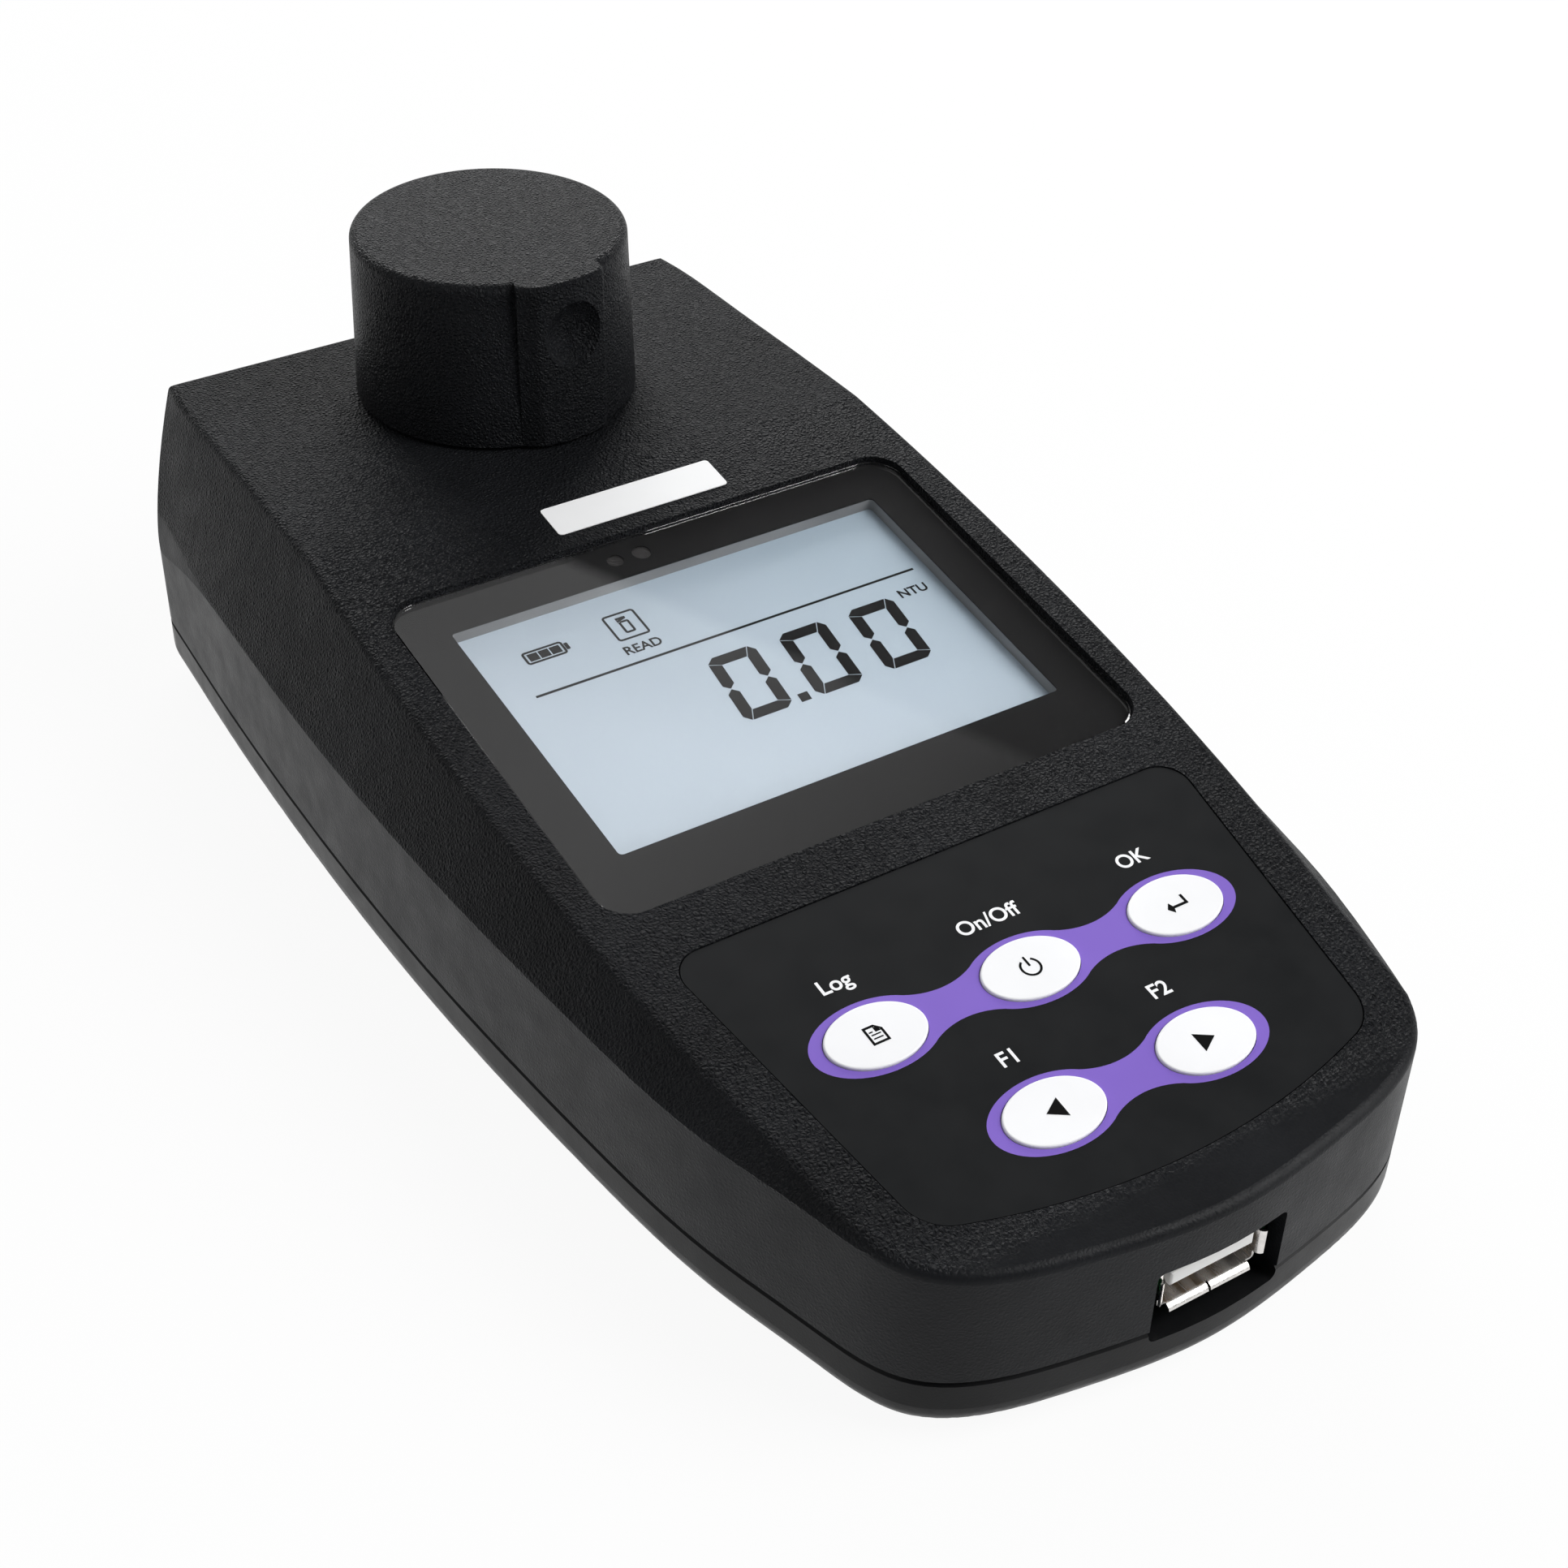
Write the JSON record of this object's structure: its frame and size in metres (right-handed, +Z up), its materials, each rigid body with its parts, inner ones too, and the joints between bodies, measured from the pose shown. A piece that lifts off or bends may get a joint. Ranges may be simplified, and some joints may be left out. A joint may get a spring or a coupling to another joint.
{
  "type": "turbidity meter",
  "caption": "Handheld turbidity meter: wedge-shaped housing, sloping display and oval keys, lift-off light shield cap over a sample well, socket in the front wall.",
  "frame": {"origin": "on the surface it stands on, under the middle of the housing's length and width", "axes": "+X right, +Y to the rear deck with the cap, +Z up; the socket's wall faces -Y"},
  "size_m": [0.095, 0.18, 0.0654],
  "materials": {
    "housing": "fine leather grain",
    "housing_base": "fine satin grain",
    "cap_plastic": "satin",
    "black_plastic": "matt",
    "window": "clear",
    "mask_print": "gloss",
    "bezel": "matt",
    "lcd": "matt",
    "backlight": "satin",
    "sensor": "clear",
    "overlay": "smooth",
    "key_purple": "satin",
    "key_white": "satin",
    "label": "satin",
    "shell_steel": "tinned",
    "usb_insulator": "satin",
    "contact_gold": "plated",
    "board_green": "satin",
    "chip": "matt",
    "socket_white": "satin",
    "switch_black": "matt",
    "ribbon": "satin",
    "screw_steel": "zinc",
    "spring_steel": "nickel",
    "optic_black": "matt",
    "lamp_clear": "clear",
    "lens_glass": "clear",
    "detector": "gloss",
    "rubber": "matt",
    "cell_jacket": "gloss"
  },
  "bodies": {
    "root": {"upper_case": "housing", "lower_case": "housing_base", "case_screws": "screw_steel", "rubber_feet": "rubber", "display_window": "window", "window_mask": "mask_print", "lcd_bezel": "bezel", "lcd_panel": "lcd", "lcd_backlight": "backlight", "light_sensor": "sensor", "status_led": "sensor", "display_board": "board_green", "display_board_screws": "screw_steel", "blank_label": "label", "keypad_overlay": "overlay", "key_surround_rear": "key_purple", "key_surround_front": "key_purple", "tact_switches": "switch_black", "keypad_board": "board_green", "keypad_board_screws": "screw_steel", "main_board": "board_green", "main_board_screws": "screw_steel", "board_chips": "chip", "board_sockets": "socket_white", "display_ribbon": "ribbon", "keypad_ribbon": "ribbon", "usb_shell": "shell_steel", "usb_tongue": "usb_insulator", "usb_contacts": "contact_gold", "sample_chamber": "optic_black", "chamber_screws": "screw_steel", "well_gasket": "rubber", "lamp_holder": "optic_black", "lamp_led": "lamp_clear", "collimating_lens": "lens_glass", "transmission_holder": "optic_black", "transmission_detector": "detector", "scatter_holder": "optic_black", "scatter_detector": "detector", "optics_board": "board_green", "battery_tray": "black_plastic", "battery_cells": "cell_jacket", "battery_springs": "spring_steel", "battery_plates": "spring_steel"},
    "cap": {"light_shield_cap": "cap_plastic", "cap_liner": "black_plastic"},
    "log_key": {"key_log": "key_white"},
    "power_key": {"key_power": "key_white"},
    "enter_key": {"key_enter": "key_white"},
    "left_key": {"key_left": "key_white"},
    "right_key": {"key_right": "key_white"},
    "door": {"battery_door": "housing_base"}
  },
  "joints": [
    {"name": "cap_lift", "type": "slide", "parent": "root", "child": "cap", "axis": [0, 0, 1], "range_m": [0, 0.08]},
    {"name": "log_press", "type": "slide", "parent": "root", "child": "log_key", "axis": [0, 0.1366, -0.9906], "range_m": [0, 0.0004], "stiffness_N_per_m": 1500},
    {"name": "power_press", "type": "slide", "parent": "root", "child": "power_key", "axis": [0, 0.1366, -0.9906], "range_m": [0, 0.0004], "stiffness_N_per_m": 1500},
    {"name": "enter_press", "type": "slide", "parent": "root", "child": "enter_key", "axis": [0, 0.1366, -0.9906], "range_m": [0, 0.0004], "stiffness_N_per_m": 1500},
    {"name": "left_press", "type": "slide", "parent": "root", "child": "left_key", "axis": [0, 0.1366, -0.9906], "range_m": [0, 0.0004], "stiffness_N_per_m": 1500},
    {"name": "right_press", "type": "slide", "parent": "root", "child": "right_key", "axis": [0, 0.1366, -0.9906], "range_m": [0, 0.0004], "stiffness_N_per_m": 1500},
    {"name": "door_swing", "type": "hinge", "parent": "root", "child": "door", "pos_m": [0, -0.02255, 0.0012], "axis": [-1, 0, 0], "range_deg": [0, 75]}
  ]
}
